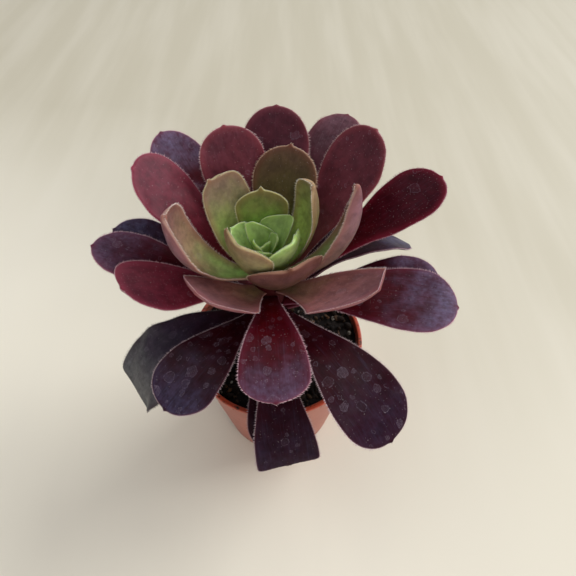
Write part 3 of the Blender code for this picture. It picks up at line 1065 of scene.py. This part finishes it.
def leaf_notes(leaf, seed, inside, teeth, flat, part, edge, from_tip):
    """What the finish reads on each point: place, distances in mm, and a skin of its own.

    facing is 1 on the upper face, 0 on the lower one and half way between on the margin.
    """

    def both(values, for_teeth):
        return np.concatenate([values.ravel(), values[inside], np.full(teeth, for_teeth)])

    facing = np.where(inside, 1.0, 0.5).ravel()
    facing = np.concatenate([facing, np.zeros(inside.sum()), np.full(teeth, 0.5)])
    x, y = (both(flat[..., axis] / MM, 0) + SKIN_SHIFT[axis] * seed for axis in (0, 1))
    return {
        "leaf_place": np.stack([both(part, 0.5), both(edge / MM, TOOTH_MARK), facing], -1),
        "leaf_tip": both(from_tip / MM, FAR_FROM_TIP),
        "leaf_skin": np.stack([x, y, 40 * facing + seed], -1),
        "leaf_wear": np.tile((leaf.marks, leaf.dust, leaf.bloom_and_sheen), (len(facing), 1)),
    }


def grow_leaf(leaf, seed, material, slot):
    """One finished leaf in its place; grid points that no face uses are dropped."""
    draw = np.random.RandomState(seed)
    sheet, upper, lower, *places = leaf_faces(leaf, seed)
    points, faces, inside = leaf_mesh(sheet, upper, lower)
    scale = float(np.clip(leaf.length / FRINGE_FULL_LENGTH, 0.5, 1))
    teeth, teeth_faces = fringe(sheet, draw, scale)
    faces += (teeth_faces + len(points)).tolist()
    points = np.concatenate([points, teeth])
    notes = leaf_notes(leaf, seed, inside, len(teeth), *places)
    height = leaf.height * MM
    turn = math.radians(leaf.azimuth - 90)
    clearance = ROOT_GAP + leaf_thickness(leaf) / 2 * math.sin(math.radians(leaf.rise)) - ROOT_REACH
    outward = np.array((math.cos(turn), math.sin(turn), 0))
    root = stem_centre(height) + (stem_radius(height) + clearance) * outward
    spin = np.array([outward, (-math.sin(turn), math.cos(turn), 0), (0, 0, 1)])
    used = np.unique(np.concatenate([np.array(face) for face in faces]))
    renumber = np.zeros(len(points), int)
    renumber[used] = np.arange(len(used))
    faces = [tuple(renumber[list(face)]) for face in faces]
    notes = {note: values[used] for note, values in notes.items()}
    points = points[used] @ spin + root
    return add_piece(leaf.name + "_blade", points, faces, material, [leaf.name], notes)


print("each leaf's textures start", SKIN_SHIFT, "mm further on than the last one's")

# %% [markdown]
# ## The leaf's skin
# Sun turns the outer leaves wine-red to almost black, while the heart stays apple green. All of
# them share one recipe: a colour that changes from base to tip, a cooler underside, mottling and
# fine streaks along the blade, a pale margin, then what lies on top: a grey film that is partly
# real wax and partly painted sheen, most of it towards the tip, rings where drops dried, and dust.
# The recipe takes its colours as arguments, so each kind of leaf is one call. Where a pattern sits
# is read from the numbers stored on the leaf's points, in millimetres on the flattened blade, so it
# follows every bend.


# %% Water marks and dust
DROP_SIZES = ((7.5, 0.9, 2.3, 0.75, 0.2), (3.6, 0.35, 1.0, 0.5, 0.16))
DUST_SIZES = ((1.3, 0.09, 0.45), (4.2, 0.16, 0.4))


def water_marks(paint, skin, amount):
    """Dried drops: broken rings and faint discs of two sizes, more of them as amount grows."""
    skin = paint.warp(paint.warp(skin, 0.35, 2.4), 2.2, 0.5)
    total = 0.0
    for spacing, smallest, largest, share, line in DROP_SIZES:
        distance, chance = paint.cells(skin, 1 / spacing, "2D")
        size, present, fill = paint.split(chance)
        radius = paint.scaled(size, largest - smallest, smallest)
        distance = paint.times(distance, spacing)
        off = paint.maths("ABSOLUTE", paint.minus(distance, radius))
        ring = paint.step(off, line, 0.03)
        disc = paint.step(paint.minus(radius, distance), 0, 0.25)
        body = paint.scaled(disc, paint.times(fill, 0.55), paint.times(ring, 0.8))
        seen = paint.maths("LESS_THAN", present, paint.times(amount, share))
        total = paint.plus(total, paint.times(body, seen))
    speckle = paint.step(paint.noise(skin, 3.2, 3, 0.75), 0.42, 0.62, 0.05, 1)
    return paint.times(paint.maths("MINIMUM", total, 1.0), speckle)


def dust_specks(paint, skin, amount):
    total = 0.0
    for spacing, radius, share in DUST_SIZES:
        distance, chance = paint.cells(skin, 1 / spacing, "2D")
        dot = paint.step(distance, radius / spacing, radius / spacing / 2)
        seen = paint.maths("LESS_THAN", paint.split(chance)[0], paint.times(amount, share))
        total = paint.plus(total, paint.times(dot, seen))
    return total


print("kinds of drop:", len(DROP_SIZES), "and of dust:", len(DUST_SIZES))

# %% The living colour, and the film and painted sheen on it
HALF_LIGHT = (0.5, 0.5, 0.5, 1)


def lengthwise(paint, place, start, end, colours):
    """Colours spread evenly from one part of the length to another."""
    stops = np.linspace(start, end, len(colours)).tolist()
    return paint.ramp(place, *zip(stops, colours))


def living_colour(paint, skin, place, top, mottle, streaks, upper, under, film):
    """Both faces from base to tip, with darker blotches and faint pale streaks."""
    colour = lengthwise(paint, place, 0.12, 0.92, upper)
    below = lengthwise(paint, place, 0.15, 0.9, under)
    colour = paint.mix(paint.step(top, 0.3, 0.7), below, colour)
    shade = paint.mix(1.0, colour, HALF_LIGHT, "MULTIPLY")
    blotch = paint.noise(paint.warp(skin, 0.2, 4.0), 0.24, 3, 0.55)
    colour = paint.mix(paint.step(blotch, 0.62, 0.32, 0, 0.6), colour, shade)
    colour = paint.mix(paint.step(mottle, 0.6, 0.25, 0, 0.4), colour, shade)
    light = paint.mix(0.5, colour, film)
    return paint.mix(paint.step(streaks, 0.5, 0.8, 0, 0.1), colour, light)


def film_and_sheen_coat(paint, along, top, patch, mottle, streaks, amount):
    """Where the film and its painted sheen lie: on the upper face, in hazy patches, most of all towards the
    tip.
    """
    film_and_sheen_share = paint.step(paint.scaled(patch, 0.65, along), 0.9, 1.42)
    hazy = paint.scaled(streaks, 0.4, paint.times(mottle, 0.9))
    film_and_sheen_share = paint.times(film_and_sheen_share, paint.step(hazy, 0.35, 0.95, 0.25, 1))
    return paint.times(paint.times(film_and_sheen_share, amount), paint.step(top, 0.2, 0.8))


print("shade keeps", HALF_LIGHT[0], "of the colour's light")

# %% The recipe
WATER_MARK = tone(162, 144, 160)
DUST = tone(196, 182, 180)
GLOW_DEPTH = 2.6 * MM


def leaf_skin(name, upper, under, margin, film, roughness, glow=0.0, gloss=0.15, line=0.4):
    """upper and under are colours from base to tip; margin is (flush, rim, teeth)."""
    upper, under, margin = ([tone(*colour) for colour in row] for row in (upper, under, margin))
    flush, rim, teeth = margin
    paint = Finish(name, roughness, gloss)
    along, edge, top = paint.split(paint.read("leaf_place"))
    from_tip = paint.split(paint.read("leaf_tip"))[0]
    skin = paint.read("leaf_skin")
    marks_amount, dust_amount, film_and_sheen_amount = paint.split(paint.read("leaf_wear"))
    patch = paint.noise(skin, 0.11, 3)
    mottle = paint.noise(skin, 0.55, 4, 0.6)
    grit = paint.noise(skin, 5.0, 3, 0.7)
    streaks = paint.noise(paint.stretch(skin, (0.1, 1.7, 0.1)), 1.0, 4, 0.65)
    place = paint.scaled(paint.minus(patch, 0.5), 0.45, along)
    colour = living_colour(paint, skin, place, top, mottle, streaks, upper, under, film)
    colour = paint.mix(paint.step(edge, 3.5, 0.3, 0, 0.45), colour, flush)
    # Painted sheen: the grey film mixed in here towards the tip is partly real wax and partly painted
    # sheen, reflected window light laid into the colour.
    film_and_sheen_share = film_and_sheen_coat(paint, along, top, patch, mottle, streaks, film_and_sheen_amount)
    colour = paint.mix(paint.times(film_and_sheen_share, 0.2), colour, film)
    marks = paint.times(water_marks(paint, skin, marks_amount), paint.step(edge, 0.2, 1.2))
    marks = paint.times(marks, paint.step(top, 0.4, 0.8))
    colour = paint.mix(paint.times(marks, 0.4), colour, WATER_MARK)
    dust = dust_specks(paint, skin, dust_amount)
    colour = paint.mix(paint.times(dust, 0.6), colour, DUST)
    colour = paint.mix(paint.step(edge, 0.5, 0.05, 0, line), colour, rim)
    colour = paint.mix(paint.step(from_tip, 1.6, 0.4, 0, 0.7), colour, flush)
    colour = paint.mix(paint.maths("LESS_THAN", edge, TOOTH_MARK / 2), colour, teeth)
    paint.set("Base Color", colour)
    dull = paint.scaled(marks, 0.3, paint.times(dust, 0.4))
    paint.set("Roughness", paint.plus(dull, paint.scaled(grit, 0.14, roughness - 0.07)))
    height = paint.scaled(grit, 0.35, paint.times(streaks, 0.25))
    height = paint.plus(height, paint.scaled(mottle, 0.6, paint.times(marks, 0.25)))
    paint.relief(height, 0.16 * MM, 0.75)
    paint.set("Subsurface Weight", glow)
    paint.set("Subsurface Radius", (1.0, 0.8, 0.35))
    paint.set("Subsurface Scale", GLOW_DEPTH)
    return paint.material


print("light spreads", GLOW_DEPTH / MM, "mm deep in a glowing leaf")

# %% [markdown]
# Fourteen complexions run from the sun-burnt outer leaves to the shaded heart. Each lists the
# upper side from base to tip, the underside, the margin's flush, rim and teeth, and the film,
# whose colour is partly painted sheen.

# %% Complexions
# Film colours: partly a real waxy film and partly painted sheen, cool grey-blue like reflected window
# light.
FILM_AND_SHEEN_GREY = tone(144, 138, 174)
FILM_AND_SHEEN_BLUE = tone(132, 136, 182)
FILM_AND_SHEEN_ROSE = tone(158, 124, 136)
FILM_AND_SHEEN_ASH = tone(150, 152, 148)
FILM_AND_SHEEN_OLIVE = tone(150, 150, 124)
FILM_AND_SHEEN_GREEN = tone(150, 160, 124)
FILM_AND_SHEEN_APPLE = tone(160, 172, 130)
COMPLEXIONS = {
    "midnight": dict(
        upper=((60, 3, 8), (46, 5, 14), (44, 14, 27)), under=((74, 24, 34), (58, 36, 46)),
        margin=((50, 12, 22), (140, 92, 104), (222, 198, 200)),
        film=FILM_AND_SHEEN_BLUE, roughness=0.34, gloss=0.1, line=0.55,
    ),
    # The ashen leaf turns grey-mauve in its middle and grey at its tip, partly painted sheen.
    "ashen": dict(
        upper=((60, 10, 16), (66, 50, 68), (76, 70, 74)), under=((74, 34, 40), (60, 44, 50)),
        margin=((58, 40, 44), (96, 84, 84), (150, 140, 138)),
        film=FILM_AND_SHEEN_ASH, roughness=0.42, gloss=0.1,
    ),
    "crimson": dict(
        upper=((76, 3, 7), (70, 4, 14), (68, 16, 30)), under=((100, 36, 44), (90, 46, 58)),
        margin=((100, 30, 46), (168, 100, 118), (222, 184, 190)),
        film=FILM_AND_SHEEN_GREY, roughness=0.38, gloss=0.1, line=0.55,
    ),
    "wine": dict(
        upper=((90, 8, 12), (72, 7, 17), (66, 11, 24)), under=((110, 50, 56), (96, 48, 58)),
        margin=((124, 24, 44), (168, 74, 96), (212, 168, 174)),
        film=FILM_AND_SHEEN_GREY, roughness=0.4, gloss=0.08,
    ),
    "claret": dict(
        upper=((112, 36, 38), (108, 30, 44), (108, 36, 52)), under=((140, 70, 80), (120, 66, 76)),
        margin=((140, 50, 68), (186, 96, 112), (216, 172, 176)),
        film=FILM_AND_SHEEN_ROSE, roughness=0.42, glow=0.04,
    ),
    "rose": dict(
        upper=((132, 74, 62), (92, 40, 50), (80, 32, 43)), under=((140, 84, 86), (120, 72, 80)),
        margin=((120, 52, 62), (170, 96, 100), (212, 176, 172)),
        film=FILM_AND_SHEEN_ROSE, roughness=0.42, glow=0.05,
    ),
    "ember": dict(
        upper=((156, 96, 84), (112, 50, 58), (94, 38, 48)), under=((150, 92, 90), (128, 76, 80)),
        margin=((140, 60, 68), (184, 104, 110), (216, 180, 176)),
        film=FILM_AND_SHEEN_ROSE, roughness=0.44, glow=0.1,
    ),
    "mauve": dict(
        upper=((140, 110, 78), (154, 98, 92), (144, 96, 98)), under=((124, 94, 80), (140, 94, 98)),
        margin=((150, 84, 88), (196, 140, 138), (220, 184, 180)),
        film=FILM_AND_SHEEN_ROSE, roughness=0.46, glow=0.3, line=0.45,
    ),
    "dusky": dict(
        upper=((160, 198, 108), (156, 132, 98), (150, 108, 98)), under=((136, 118, 92), (150, 104, 114)),
        margin=((156, 100, 90), (206, 168, 148), (226, 200, 182)),
        film=FILM_AND_SHEEN_ROSE, roughness=0.46, glow=0.3, line=0.6,
    ),
    "bronze": dict(
        upper=((122, 130, 62), (88, 80, 40), (90, 68, 45)), under=((110, 86, 60), (118, 76, 74)),
        margin=((112, 64, 48), (182, 136, 108), (218, 188, 160)),
        film=FILM_AND_SHEEN_ROSE, roughness=0.44, glow=0.1, line=0.6,
    ),
    "olive": dict(
        upper=((156, 196, 98), (146, 158, 88), (148, 122, 102)), under=((176, 190, 118), (166, 144, 108)),
        margin=((146, 104, 80), (206, 190, 138), (228, 210, 170)),
        film=FILM_AND_SHEEN_OLIVE, roughness=0.46, glow=0.4, line=0.6,
    ),
    "leaf_green": dict(
        upper=((152, 200, 96), (118, 156, 62), (120, 116, 64)), under=((176, 200, 118), (170, 170, 112)),
        margin=((132, 112, 64), (212, 206, 146), (230, 222, 176)),
        film=FILM_AND_SHEEN_GREEN, roughness=0.44, glow=0.5, line=0.7,
    ),
    "sprout": dict(
        upper=((204, 238, 134), (192, 214, 112), (164, 164, 100)), under=((150, 172, 96), (150, 128, 92)),
        margin=((150, 118, 90), (208, 176, 140), (230, 214, 176)),
        film=FILM_AND_SHEEN_GREEN, roughness=0.44, glow=0.5, line=0.6,
    ),
    "apple": dict(
        upper=((192, 226, 134), (162, 192, 110), (152, 178, 104)), under=((180, 206, 124), (168, 184, 116)),
        margin=((150, 182, 96), (214, 236, 162), (228, 236, 188)),
        film=FILM_AND_SHEEN_APPLE, roughness=0.44, glow=0.6, line=0.75,
    ),
}
skins = {name: leaf_skin(name + "_skin", **recipe) for name, recipe in COMPLEXIONS.items()}
print("skins:", ", ".join(skins))

# %% [markdown]
# ## The rosette
# The table gives each leaf its place in the spiral. Six lower leaves are mostly hidden under the
# rosette, and eighteen outer leaves spread to its rim. Six middle ones and five inner ones close
# round the heart's seven small leaves. What most of the innermost share is kept in CORE.

# %% The leaf table
CORE = {"neck": 0.34, "slender": 1.4, "marks": 0}
LEAVES = (
    Leaf("lower_leaf_01", "wine", 234, 97, 54, 24, 26, 24, dust=0.2),
    Leaf("lower_leaf_02", "wine", 190, 101, 62, 26, 32, 34, dust=0.2),
    Leaf("lower_leaf_03", "midnight", 140, 96.8, 44, 22, 28, 28, marks=0.3),
    Leaf("lower_leaf_04", "midnight", 166, 94, 52, 23, 20, 16, marks=0.3),
    Leaf("lower_leaf_05", "midnight", 355, 91, 58, 22, 6, -70, bend=1.2, sway=15, marks=0.2),
    Leaf("lower_leaf_06", "midnight", 212, 92, 50, 23, 18, 14, marks=0.3),
    Leaf("outer_leaf_01", "rose", 177, 111.5, 74, 29, 44, 48, bloom_and_sheen=0.2),
    Leaf("outer_leaf_02", "rose", 153.5, 106, 84, 26, 41, 16, bend=5, sway=-3, wave=0.9, bloom_and_sheen=1.5),
    Leaf("outer_leaf_03", "ember", 131.5, 112, 74, 28, 45, 48, slender=3.4, skew=-0.03, dust=0.6,
         bloom_and_sheen=0.2),
    Leaf("outer_leaf_04", "wine", 110, 109.5, 80.5, 26.5, 36, 27, sway=2, slender=4.4, widest=0.84,
         dust=0.8, bloom_and_sheen=0),
    Leaf("outer_leaf_05", "midnight", 117, 102.4, 69, 15, 38, -38, bend=1.6, sway=-11, roll=18,
         bloom_and_sheen=2.0),
    Leaf("outer_leaf_06", "crimson", 93, 100, 69, 26, 24, 4, marks=0.2, bloom_and_sheen=3),
    Leaf("outer_leaf_07", "crimson", 77.6, 106.4, 73, 30, 26, -2, roll=-6, marks=0.4, bloom_and_sheen=2.3),
    Leaf("outer_leaf_08", "midnight", 36.5, 103, 75, 30, 24, -38, bend=1.3, slender=2.6, widest=0.8,
         marks=0.5, bloom_and_sheen=0.25),
    Leaf("outer_leaf_09", "crimson", 4, 114, 52, 26, 30, -15, neck=0.28, slender=1.8, widest=0.82,
         marks=0.45, dust=0.5, bloom_and_sheen=1.4),
    Leaf("outer_leaf_10", "midnight", 0, 97, 66.5, 26.5, 12, -62, bend=1.2, sway=16, roll=-4,
         slender=2.8, widest=0.95, square=6, marks=0.3, bloom_and_sheen=0.35),
    Leaf("outer_leaf_11", "midnight", 322.5, 104, 60.5, 28, 22, -22, slender=2.8, marks=0.7,
         bloom_and_sheen=0.9),
    Leaf("outer_leaf_12", "ashen", 294, 97, 73, 31, 18, -74, bend=1.7, sway=12, neck=0.3,
         square=3.2, tooth=0.1, wave=1.3, marks=0.3, bloom_and_sheen=2.2),
    Leaf("outer_leaf_13", "claret", 286, 111.5, 56.3, 24, 30, 18, roll=4, slender=2.8, square=2.4,
         skew=0.1, point=-0.1, dust=0.8, bloom_and_sheen=0.1),
    Leaf("outer_leaf_14", "crimson", 268.5, 106.5, 71, 23, 31, 21, roll=2, slender=2.8, marks=0.6,
         bloom_and_sheen=1.4),
    Leaf("outer_leaf_15", "midnight", 257, 100.6, 70, 26, 31, 25, marks=0.6, bloom_and_sheen=1.3),
    Leaf("outer_leaf_16", "claret", 246.5, 114.6, 68, 26, 46, 47, sway=3, skew=0.03, point=-0.25,
         bloom_and_sheen=0.2),
    Leaf("outer_leaf_17", "crimson", 224.7, 109, 77, 25, 40, 42, marks=0.3, bloom_and_sheen=2),
    Leaf("outer_leaf_18", "ember", 203.5, 119, 60, 27, 49, 57, bloom_and_sheen=0.5),
    Leaf("middle_leaf_01", "mauve", 60, 117, 40.6, 28, 18, 32, cup=28, roll=1, neck=0.25, slender=2,
         square=2.6, skew=-0.36, point=-0.35, tooth=1.1, dust=0.9),
    Leaf("middle_leaf_02", "mauve", 321, 117.5, 32, 28, 26, 46, cup=26, roll=2, neck=0.28,
         slender=1.6, widest=0.8, square=2.6, skew=0.28, point=0.35, tooth=1.1, dust=0.8),
    Leaf("middle_leaf_03", "dusky", 281, 123, 53, 26, 8, 96, cup=54, neck=0.26, slender=1.5,
         square=1.7, skew=0.1, tooth=1.1),
    Leaf("middle_leaf_04", "dusky", 90.5, 120.8, 62, 25.5, 10, 112, sway=8, cup=50, roll=24,
         neck=0.3, slender=1.4, widest=0.66, square=1.4),
    Leaf("middle_leaf_05", "bronze", 164.2, 121.4, 49.5, 26.5, 55, 50, widest=0.73, tooth=1.1),
    Leaf("middle_leaf_06", "bronze", 30, 121, 27.5, 31, 35, 86, cup=34, roll=13, neck=0.34,
         slender=1.4, square=2.6, skew=-0.09, tooth=1.1),
    Leaf("inner_leaf_01", "olive", 223, 125.2, 40, 22, 40, 76, neck=0.34, slender=0.7, widest=0.48,
         square=3.6, point=-0.42, tooth=1.2, marks=0, dust=0.1),
    Leaf("inner_leaf_02", "sprout", 114, 124.5, 44.5, 20, 26, 105, bend=0.8, cup=50, roll=5,
         neck=0.4, slender=1, widest=0.7, square=3, skew=-0.02, point=0.2, tooth=1.2, marks=0,
         dust=0.1),
    Leaf("inner_leaf_03", "olive", 322, 126, 28, 26, 48, 94, cup=46, square=2.2, skew=0.06,
         point=0.75, tooth=1, dust=0.1, **CORE),
    Leaf("inner_leaf_04", "leaf_green", 184, 128.5, 27.8, 21, 70, 54, square=1.75, tooth=1.3,
         dust=0.1, **CORE),
    Leaf("inner_leaf_05", "apple", 51, 127.5, 25, 21.5, 46, 90, cup=46, skew=-0.05, point=-0.3,
         tooth=1, dust=0.1, **CORE),
    Leaf("heart_leaf_01", "apple", 253, 131.2, 17, 14, 61, 51, cup=30, square=1.6, dust=0, **CORE),
    Leaf("heart_leaf_02", "apple", 142, 131.7, 18, 14.5, 67, 58, cup=30, neck=0.5, slender=1,
         square=3, skew=0.2, point=0.7, marks=0, dust=0),
    Leaf("heart_leaf_03", "apple", 348, 131, 10.5, 10, 70, 92, cup=40, dust=0, **CORE),
    Leaf("heart_leaf_04", "apple", 194, 134.4, 12, 12, 74, 60, cup=30, roll=-8, square=3, skew=-0.3,
         point=-0.75, dust=0, **CORE),
    Leaf("heart_leaf_05", "apple", 103, 134.5, 9.5, 8.5, 70, 62, cup=34, point=-0.3, dust=0,
         **CORE),
    Leaf("heart_leaf_06", "apple", 300, 134.7, 8, 7.5, 76, 88, cup=40, dust=0, **CORE),
    Leaf("heart_leaf_07", "apple", 45, 135.4, 7, 6.5, 78, 94, cup=40, dust=0, **CORE),
)
SLOTS = {
    "lower": "dark_leaf",
    "outer": "dark_leaf",
    "middle": "dusky_leaf",
    "inner": "green_leaf",
    "heart": "heart_green",
}
print("leaves in the table:", len(LEAVES))

# %% Grow the rosette and compare each leaf with its place in the frame
BOX_TOLERANCE = 2 * MM

worst = 0.0
for number, leaf in enumerate(LEAVES):
    blade = grow_leaf(leaf, number + 1, skins[leaf.skin], SLOTS[leaf.name.split("_")[0]])
    low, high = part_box(leaf.name)
    points = np.array([vertex.co for vertex in blade.data.vertices])
    off = max(np.abs(points.min(0) - low).max(), np.abs(points.max(0) - high).max())
    if off > BOX_TOLERANCE:
        print(f"{leaf.name} differs from its frame box by {off / MM:.1f} mm")
    worst = max(worst, off)
print(f"largest difference from a frame box: {worst / MM:.1f} mm")

# %% [markdown]
# ## Last measurements
# The triangles of all the shown pieces are counted.

# %% Counts
triangles = 0
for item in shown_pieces():
    triangles += sum(len(face.vertices) - 2 for face in item.data.polygons)
print("triangles in all:", triangles)
